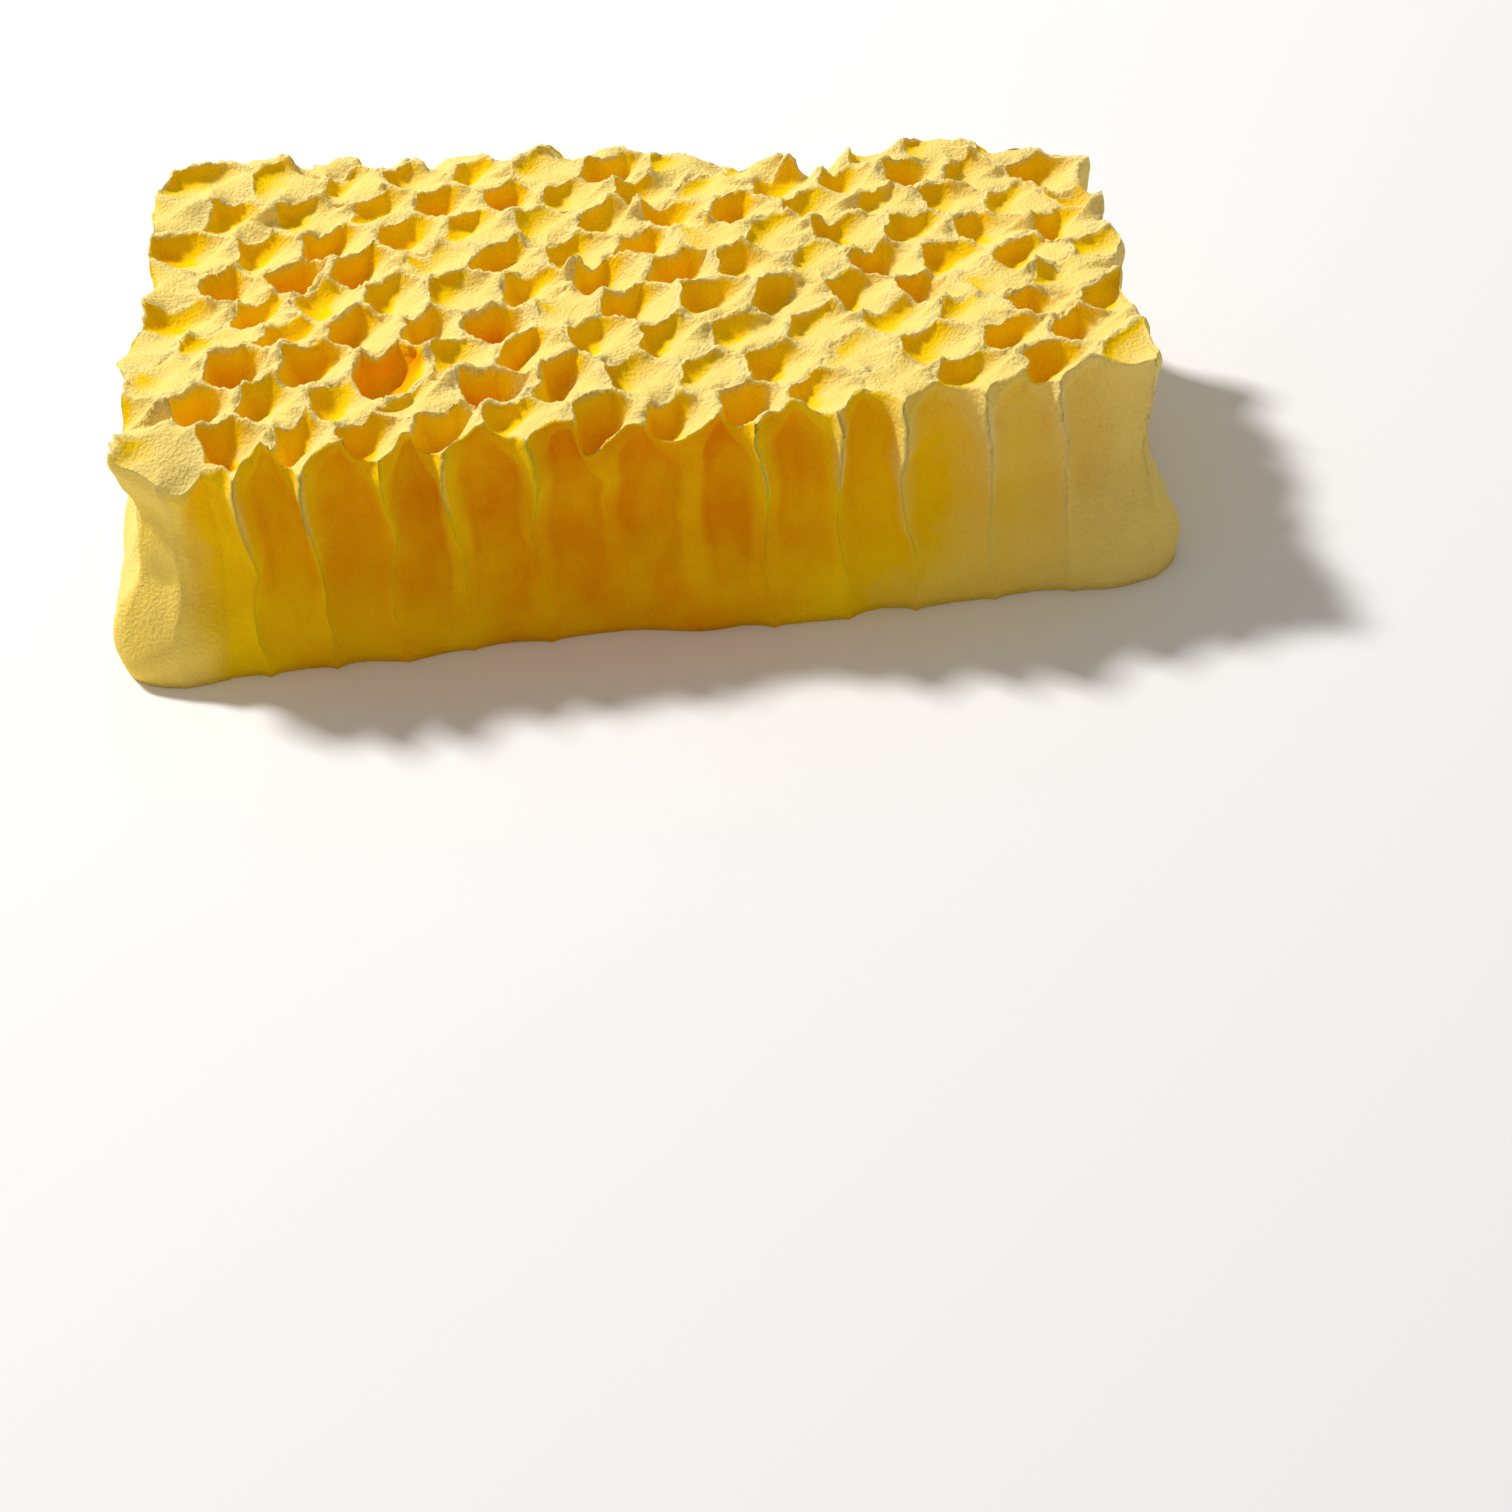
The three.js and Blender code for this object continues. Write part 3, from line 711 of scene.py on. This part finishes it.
# %% The way out from it
FRONT_TURN = (0.3, 0.8)  # between these, a way out counts more and more as the front's
FRONT_END = (34.5, 38.5)  # between these X, the front's relief gives way to the corners

forward = np.roll(calm, -1, axis=0) - np.roll(calm, 1, axis=0)
area = (calm[:, 0] * forward[:, 1] - calm[:, 1] * forward[:, 0]).sum()
outward = np.column_stack([forward[:, 1], -forward[:, 0]]) * np.sign(area)
outward /= np.linalg.norm(outward, axis=1)[:, None]
sideways = np.column_stack([-outward[:, 1], outward[:, 0]])
front_facing = smooth_rise(-outward[:, 1], *FRONT_TURN)
inside_corners = 1 - smooth_rise(np.abs(calm[:, 0]), *FRONT_END)
print("columns on the front:", int((front_facing * inside_corners > 0.5).sum()))

# %% [markdown]
# ## The sides from rim to foot
#
# Three things shape the sides from top to bottom: how much of the flutes is left, how far the clay
# spreads, and a thumb's dent in the right end. The first two are short tables over the height, eased
# between their entries. The foot spreads most at the two front corners, and unevenly everywhere.

# %% Profiles over the height
PROFILE_Z = [0, 1.2, 4.5, 9, 14, 20]
PROFILE_FLUTE = [0.2, 0.25, 0.45, 0.75, 0.95, 1]  # share of the zigzag that is left
PROFILE_SPREAD = [0.9, 1.2, 0.9, -0.3, -0.7, 0]  # share of the foot's spread, and inwards where below 0
PROFILE_EASE = np.linspace(-1.2, 1.2, 7)  # averaged over these heights above and below


def profile(z, values):
    """A value at height z, eased between the profile's heights."""
    return np.mean([np.interp(z + step, PROFILE_Z, values) for step in PROFILE_EASE], axis=0)


print("share of the flutes at half height:", profile(RIM_HEIGHT / 2, PROFILE_FLUTE).round(2))

# %% The foot and the dent
SPREAD_AT_FOOT, MORE_AT_ENDS = 0.9, 1.7
END_FROM_TO = (32, 39)  # between these X, the ends' greater spread begins
BACK_SHARE, FRONT_FROM_TO = 0.35, (5, 20)  # the ends spread less behind than in front
FOOT_WAVES = [(0.3, 0.23, 0.31, 0), (0.2, 0.6, 0, 0)]
DENT_AT, DENT_SIZE, DENT_DEPTH = (40, -16, 9.5), (3.2, 4), 1.6


def foot_spread(here):
    """How far the foot spreads at a place of the calm outline."""
    in_front = BACK_SHARE + (1 - BACK_SHARE) * smooth_rise(-here[:, 1], *FRONT_FROM_TO)
    ends = smooth_rise(np.abs(here[:, 0]), *END_FROM_TO) * in_front
    uneven = 1 + waves(here[:, 0], here[:, 1], FOOT_WAVES)
    return (SPREAD_AT_FOOT + MORE_AT_ENDS * ends) * uneven


def dent(here, z):
    """How deep the thumb's dent is at a place of the calm outline and a height."""
    along = np.hypot(here[:, 0] - DENT_AT[0], here[:, 1] - DENT_AT[1]) / DENT_SIZE[0]
    return DENT_DEPTH * np.exp(-(along**2) - ((z - DENT_AT[2]) / DENT_SIZE[1]) ** 2)


print("the foot spreads by up to", foot_spread(calm).max().round(1), "mm")

# %% Heights down the columns
RIM_CROWDING = 1.3  # the points of a column crowd towards the rim

where = column[side]
net_x = net[side, 0]
share = (level[side] / SIDE_STEPS) ** RIM_CROWDING
top = rim[where, 2]
z = top * (1 - share)
below = top - z
calm_here = calm[where]
relief = (front_facing * inside_corners)[where]
print("highest step under the rim:", (top * (1 / SIDE_STEPS) ** RIM_CROWDING).max().round(2), "mm")

# %% [markdown]
# ## Pockets and swollen ridges
#
# Pressed clay bulges. Under the rim the bolder ridges swell to a belly, between them the flutes sink to
# pockets, widest at half height, and each ridge wanders a little from side to side on its way down.
# Each of these is a product of soft steps: one across the flute, one or two over the height, and one
# that keeps it on the front.

# %% Pockets
POCKET = 1.2  # how much deeper the flutes are in the middle of their height
POCKET_EDGE, POCKET_LUCK = 0.3, 0.3  # how far from a ridge a pocket begins, and how much that differs
POCKET_SOFTNESS, POCKET_MIDDLE = 0.2, 1.05  # its edge is soft, up to nearly the flute's middle
POCKET_WIDENS, WIDE_FROM = 0.5, 3  # it is wider from this far under the rim
POCKET_TOP, POCKET_FOOT = (0.2, 2.2), (2, 9)  # under the rim, and over the bottom

pocket_edge = POCKET_EDGE + POCKET_LUCK * chance(ridge_number(net_x), 2, 9)
across_flute = off_ridge(net_x) + POCKET_WIDENS * smooth_rise(below, 0, WIDE_FROM)
pocket = smooth_rise(across_flute, pocket_edge + POCKET_SOFTNESS, POCKET_MIDDLE)
pocket *= smooth_rise(below, *POCKET_TOP) * smooth_rise(z, *POCKET_FOOT) * relief
print("points in pockets:", int((pocket > 0.5).sum()))

# %% Bellies and wandering ridges
BELLY = 0.7  # how much the bolder ridges swell under the rim
BELLY_THIN = 4  # the higher, the thinner a belly
BELLY_TOP, BELLY_FOOT = (0.2, 2), (4, 10)  # heights under the rim where it grows, and where it ends
RIDGE_WANDER, WANDER_TURN = 0.45, 0.42  # how far a ridge wanders, and how fast it turns
WANDER_START = 6.28  # each ridge starts somewhere in a full wave

belly = np.clip(ridge_strength(net_x), 0, 2) * (1 - off_ridge(net_x)) ** BELLY_THIN * relief
belly *= smooth_rise(below, *BELLY_TOP) * (1 - smooth_rise(below, *BELLY_FOOT))
wander = np.sin(WANDER_TURN * z + WANDER_START * chance(ridge_number(net_x), 0, 7)) * np.sin(np.pi * share)
wander *= RIDGE_WANDER * (1 - off_ridge(net_x))
print("ridges swell by up to", (BELLY * belly).max().round(2), "mm")

# %% Move the sides' points
WALL_HALF = 0.45  # half a wall's thickness
LIP = 1.0  # the rim thickens to its full wall over this height

flute = profile(z, PROFILE_FLUTE)[:, None]
lip = WALL_HALF * np.sqrt(np.clip((top - z) / LIP, 0, 1))
reach = lip + profile(z, PROFILE_SPREAD) * foot_spread(calm_here) - dent(calm_here, z)
reach += BELLY * belly - POCKET * pocket
points[side, :2] = (
    calm_here
    + flute * (rim[where, :2] - calm_here)
    + reach[:, None] * outward[where]
    + (wander * relief)[:, None] * sideways[where]
)
points[side, 2] = z
print("slab:", np.ptp(points, axis=0).round(1), "mm over all")

# %% [markdown]
# ## What the material will need to know
#
# Two numbers per point go along with the mesh. One says how near a crest or a torn ridge it is. It
# steers the crumbs, and in the material it lays on a painted highlight that makes crests and ridges pale.
# The other is painted shade: amber where a hollow lies out of the lamp's light, with a painted glow as of
# light through the clay. They could be painted by hand as vertex colours, but the rules above know both
# already. On the front, the painted glow and shade in the flutes are strongest around the slab's middle
# and less to the right, and the ridges and both ends stay pale.

# %% Near a crest or a ridge
# The pale lines are a painted highlight along the rim and down the upper part of each ridge.
RIDGE_LINE = 3.5  # the higher, the thinner the pale line down a ridge
RIM_LINE = 0.3  # height of the pale line under the rim
RIDGE_LINE_FROM = (10, 16)  # between these heights the line down a ridge comes in
# The worn corner also loses its painted highlight there.
WORN_AND_DIMMED, WORN_AND_DIMMED_REACH = 0.8, 6  # the sunken corner was rubbed smooth

on_line = (1 - off_ridge(net[:, 0])) ** RIDGE_LINE * np.clip(ridge_strength(net[:, 0]), 0, 1)
on_ridge = np.where(side, on_line, 0)
near_crest = np.where(face, crest_share, 0)
ridge_line = on_ridge[side] * front_facing[where] * smooth_rise(z, *RIDGE_LINE_FROM)
near_crest[side] = np.maximum(fade(below, RIM_LINE), ridge_line)
near_crest *= 1 - WORN_AND_DIMMED * fade(from_corner, WORN_AND_DIMMED_REACH)
print("near a crest:", int((near_crest > 0.5).sum()), "points")

# %% Painted shade and glow in the hollows and flutes
GLOW, MIDDLE_GLOW, MIDDLE_WIDE = 0.6, 0.4, 22  # everywhere on the front, and more around the middle
RIGHT_LOSS, RIGHT_FROM_TO = 0.45, (4, 28)  # each loss: how much, and between which X or heights it grows
POCKET_ONLY, POCKET_ONLY_RIGHT, RIGHT_PART = 0.1, 0.2, (8, 18)  # outside the pockets
GLOW_RIM = (0, 0.3)  # heights under the rim between which the glow begins
RIDGE_LOSS, RIDGE_LOSS_FROM = 0.7, (8, 15)
END_LOSS, END_LOSS_FROM = 0.75, (29, 38)

# The front's flutes get painted glow and shade, most around the middle and less to the right, and the
# ridges and both ends lose it.
side_x = points[side, 0]
painted_glow = GLOW + MIDDLE_GLOW * fade(side_x, MIDDLE_WIDE) - RIGHT_LOSS * smooth_rise(side_x, *RIGHT_FROM_TO)
flat_loss = POCKET_ONLY + POCKET_ONLY_RIGHT * smooth_rise(side_x, *RIGHT_PART)
painted_shade = np.where(face, shade_share, 0)
painted_flute_shade = (1 - flat_loss * (1 - pocket)) * smooth_rise(below, *GLOW_RIM)
painted_shade[side] = front_facing[where] * painted_flute_shade * painted_glow
painted_shade[side] *= 1 - RIDGE_LOSS * on_ridge[side] * smooth_rise(z, *RIDGE_LOSS_FROM)
painted_shade[side] *= 1 - END_LOSS * smooth_rise(np.abs(side_x), *END_LOSS_FROM)
print("deep in a hollow:", int((painted_shade > 0.5).sum()), "points")

# %% Put the points and their numbers on the mesh


def keep_number(mesh, name, values):
    """Stores a number per point, where a material can read it by its name."""
    mesh.attributes.new(name, "FLOAT", "POINT").data.foreach_set("value", values.astype(np.float32))


comb.data.vertices.foreach_set("co", (points * MM).astype(np.float32).ravel())
keep_number(comb.data, "near_crest", near_crest)
keep_number(comb.data, "painted_shade", painted_shade)
comb.data.update()
print("points placed:", len(comb.data.vertices))

# %% [markdown]
# ## Crumbs
#
# Soft clay tears when the mould comes off. Sculpting that by hand would take hours and couldn't be
# repeated, so Displace modifiers with clouds of three sizes do it: a wide one bends the walls a little,
# and two small ones gnaw at the crests and ridges alone, through a vertex group. The other group keeps
# the bottom flat, because the slab has to lie still.

# %% Vertex groups
FREE_FROM_TO = (0.3, 2)  # heights over the bottom
CRUMBLY_CURVE = 1.5  # the higher, the closer the crumbs keep to the crests
WEIGHT_STEPS = 20

free = smooth_rise(points[:, 2], *FREE_FROM_TO)
for name, weights in (("loose", free), ("crumbly", free * near_crest**CRUMBLY_CURVE)):
    group = comb.vertex_groups.new(name=name)
    steps = np.rint(weights * WEIGHT_STEPS).astype(int)
    for step in range(1, WEIGHT_STEPS + 1):
        group.add(np.flatnonzero(steps == step).tolist(), step / WEIGHT_STEPS, "REPLACE")
print("loose points:", int((free > 0.5).sum()))

# %% Displacement


def crumble(name, size, strength, group, every_way=False):
    """Pushes points about by a cloud whose puffs are size wide, both in millimetres."""
    cloud = bpy.data.textures.new(name, "CLOUDS")
    cloud.noise_scale = size * MM
    cloud.noise_depth = 1
    cloud.cloud_type = "COLOR" if every_way else "GRAYSCALE"
    push = comb.modifiers.new(name, "DISPLACE")
    push.texture = cloud
    push.texture_coords = "LOCAL"
    push.direction = "RGB_TO_XYZ" if every_way else "NORMAL"
    push.strength = strength * MM
    push.mid_level = 0.5
    push.vertex_group = group
    bpy.context.view_layer.objects.active = comb
    bpy.ops.object.modifier_apply(modifier=push.name)


crumble("bent walls", 4, 1.0, "loose", every_way=True)
crumble("torn crests", 1.2, 0.7, "crumbly", every_way=True)
crumble("crumbs", 0.5, 0.55, "crumbly")
bpy.ops.object.shade_smooth()
print("crumbled:", len(comb.data.polygons), "faces")

# %% [markdown]
# ## Its seat in the frame
#
# The regular comb was laid out around its own middle row, and the CAD part has its origin under the
# middle of its box. So the finished mesh moves over until both boxes have the same middle. The mesh data
# moves, not the object, so that the object's origin stays where the frame has it.

# %% The seat
cad_low, cad_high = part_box("honeycomb_slab")
cad_middle = (cad_low + cad_high) / 2
corners = [Vector(corner) for corner in comb.bound_box]
own_middle = (corners[0] + corners[6]) / 2
seat = Vector((cad_middle.x - own_middle.x, cad_middle.y - own_middle.y, 0))
comb.data.transform(Matrix.Translation(seat))
print("moved by", [round(value / MM, 2) for value in seat], "mm")
print("slab's size in mm:", [round(value / MM, 1) for value in comb.dimensions])

# %% [markdown]
# ## The clay
#
# Foam clay is matte and slightly translucent: light enters the thin crests and comes out warmer in the
# hollows. So it is one Principled BSDF with a little subsurface scattering and almost no gloss. Its
# colour goes from a painted highlight on the crests, over the clay's own yellow, to painted shade in amber
# and deep amber in the hollows and flutes, by the two numbers, and noise makes both changes patchy. A
# fine bump gives the grain, which is weaker in the smooth hollows.

# %% The material
clay = bpy.data.materials.new("yellow_clay")
clay.use_nodes = True
nodes, links = clay.node_tree.nodes, clay.node_tree.links
shader = nodes["Principled BSDF"]
shader.inputs["Roughness"].default_value = 0.82
shader.inputs["Specular IOR Level"].default_value = 0.02
shader.inputs["Subsurface Weight"].default_value = 0.15
shader.inputs["Subsurface Radius"].default_value = (1, 0.8, 0.5)
shader.inputs["Subsurface Scale"].default_value = 0.5 * MM
comb.data.materials.append(clay)
print("material:", clay.name)

# %% Node helpers


def node(kind, **settings):
    """Adds a node to the material."""
    made = nodes.new(kind)
    for name, value in settings.items():
        setattr(made, name, value)
    return made


def mix_colours(amount, first, second):
    """A mix of two colours. Each is a socket or a fixed colour."""
    mix = node("ShaderNodeMix", data_type="RGBA")
    for socket, value in ((mix.inputs[0], amount), (mix.inputs[6], first), (mix.inputs[7], second)):
        if isinstance(value, tuple):
            socket.default_value = value
        else:
            links.new(value, socket)
    return mix.outputs[2]


def remap(value, low, high, to_low, to_high):
    """Stretches the values from low to high over the values from to_low to to_high."""
    ranged = node("ShaderNodeMapRange")
    links.new(value, ranged.inputs[0])
    for socket, number in zip(ranged.inputs[1:5], (low, high, to_low, to_high)):
        socket.default_value = number
    return ranged.outputs[0]


def multiply(first, second):
    """The product of two sockets."""
    times = node("ShaderNodeMath", operation="MULTIPLY")
    links.new(first, times.inputs[0])
    links.new(second, times.inputs[1])
    return times.outputs[0]


print("helpers for a material of", len(nodes), "nodes so far")

# %% Noise that stays on the slab
NOISE_RANGE = (0.35, 0.65)  # most of a noise's values lie between these

place_on_slab = node("ShaderNodeTexCoord").outputs["Object"]


def noise(size, detail):
    """A noise whose features are about size millimetres wide."""
    texture = node("ShaderNodeTexNoise")
    links.new(place_on_slab, texture.inputs["Vector"])
    texture.inputs["Scale"].default_value = 1 / (size * MM)
    texture.inputs["Detail"].default_value = detail
    return texture.outputs["Fac"]


print("noise follows:", place_on_slab.name, "coordinates")

# %% Colour
# AMBER and DEEP_AMBER are painted shade, with a painted glow, in the hollows and the front's flutes.
# CLAY is the clay's own yellow. PALE is a painted highlight on the crests and ridges.
CLAY = (0.96, 0.72, 0.2, 1)
PALE = (0.98, 0.77, 0.29, 1)
AMBER = (1, 0.635, 0.004, 1)
DEEP_AMBER = (0.9, 0.35, 0.001, 1)

crest_number = node("ShaderNodeAttribute", attribute_name="near_crest").outputs["Fac"]
painted_shade_number = node("ShaderNodeAttribute", attribute_name="painted_shade").outputs["Fac"]
# painted highlight: pale where near_crest is high, made patchy by noise
crest_highlight = multiply(crest_number, remap(noise(2.5, 2), *NOISE_RANGE, 0.3, 1))
highlit_clay = mix_colours(crest_highlight, CLAY, PALE)
# painted shade and glow: the painted shade number, made patchy by noise
hollow = multiply(painted_shade_number, remap(noise(5, 3), *NOISE_RANGE, 0.8, 1.15))
amber_clay = mix_colours(remap(hollow, 0, 0.35, 0, 1), highlit_clay, AMBER)
deep_clay = mix_colours(remap(hollow, 0.45, 1, 0, 1), amber_clay, DEEP_AMBER)
links.new(deep_clay, shader.inputs["Base Color"])
print("colour nodes:", len(nodes))

# %% Grain
bump = node("ShaderNodeBump")
bump.inputs["Distance"].default_value = 0.3 * MM
links.new(noise(0.3, 4), bump.inputs["Height"])
links.new(remap(painted_shade_number, 0, 0.5, 0.9, 0.45), bump.inputs["Strength"])
links.new(bump.outputs["Normal"], shader.inputs["Normal"])
print("material nodes:", len(nodes))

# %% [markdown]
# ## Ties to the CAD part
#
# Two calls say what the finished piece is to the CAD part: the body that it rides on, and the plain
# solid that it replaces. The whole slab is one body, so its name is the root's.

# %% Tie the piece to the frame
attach(comb, "root")
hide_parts("honeycomb_slab")
print(comb.name, "rides on the root body")

# %% [markdown]
# ## Floor and light
#
# A wide pale floor and a soft bright world show the slab on plain ground. The world's light fills the
# shadows and is very slightly warm. One softened, sun-like lamp from the back left throws the short
# shadows that make the bowls read. It is an area lamp, because its size is a plain way to set how soft
# those shadows are.

# %% Floor
bpy.ops.object.select_all(action="DESELECT")
bpy.ops.mesh.primitive_plane_add(size=6)
floor = bpy.context.object
floor.name = "floor"
pale = bpy.data.materials.new("pale_floor")
pale.use_nodes = True
pale.node_tree.nodes["Principled BSDF"].inputs["Base Color"].default_value = (0.9, 0.9, 0.9, 1)
pale.node_tree.nodes["Principled BSDF"].inputs["Roughness"].default_value = 0.9
floor.data.materials.append(pale)
print("floor:", [round(size, 1) for size in floor.dimensions], "m")

# %% Lamp
SUN_TURN = math.radians(142)  # from +X towards +Y
SUN_HEIGHT = math.radians(50)
LAMP_DISTANCE = 0.9
LAMP_SIZE = 0.12
LAMP_POWER = 8

towards_lamp = Vector((
    math.cos(SUN_TURN) * math.cos(SUN_HEIGHT),
    math.sin(SUN_TURN) * math.cos(SUN_HEIGHT),
    math.sin(SUN_HEIGHT),
))
bpy.ops.object.light_add(type="AREA", location=towards_lamp * LAMP_DISTANCE)
lamp = bpy.context.object
lamp.rotation_euler = towards_lamp.to_track_quat("Z", "Y").to_euler()
lamp.data.size = LAMP_SIZE
lamp.data.energy = LAMP_POWER
print("lamp at", [round(value, 2) for value in lamp.location], "m")

# %% World
world = bpy.data.worlds.new("studio")
world.use_nodes = True
world.node_tree.nodes["Background"].inputs["Color"].default_value = (1, 0.96, 0.91, 1)
world.node_tree.nodes["Background"].inputs["Strength"].default_value = 0.35
bpy.context.scene.world = world
bpy.context.scene.view_settings.view_transform = "Standard"
print("world:", world.name)

# %% [markdown]
# ## The photograph's view
#
# The camera stands where the photograph was taken from. Its place, its turns and its focal length were
# worked out beforehand from the slab's four top corners, so the picture can be laid over the photograph.
# A camera looks along its own -Z with +Y up, and those three axes are the columns of its matrix.

# %% Camera
PHOTO_PIXELS = 1512
FOCAL_PIXELS = 3664
SENSOR = 36
CAMERA_FROM_COMB = Vector((8.15, -258.32, 174.0)) * MM
YAW, PITCH, ROLL = (math.radians(angle) for angle in (-0.25, 38.43, -5.02))

ahead = Vector((math.sin(YAW) * math.cos(PITCH), math.cos(YAW) * math.cos(PITCH), -math.sin(PITCH)))
level_right = Vector((math.cos(YAW), -math.sin(YAW), 0))
level_up = level_right.cross(ahead)
right = level_right * math.cos(ROLL) + level_up * math.sin(ROLL)
up = level_up * math.cos(ROLL) - level_right * math.sin(ROLL)
turned = Matrix((right, up, -ahead)).transposed().to_4x4()
bpy.ops.object.camera_add()
camera = bpy.context.object
camera.data.sensor_width = SENSOR
camera.data.lens = SENSOR * FOCAL_PIXELS / PHOTO_PIXELS
camera.data.clip_end = 20
camera.matrix_world = Matrix.Translation(CAMERA_FROM_COMB + seat) @ turned
bpy.context.scene.camera = camera
print("lens:", round(camera.data.lens, 1), "mm")
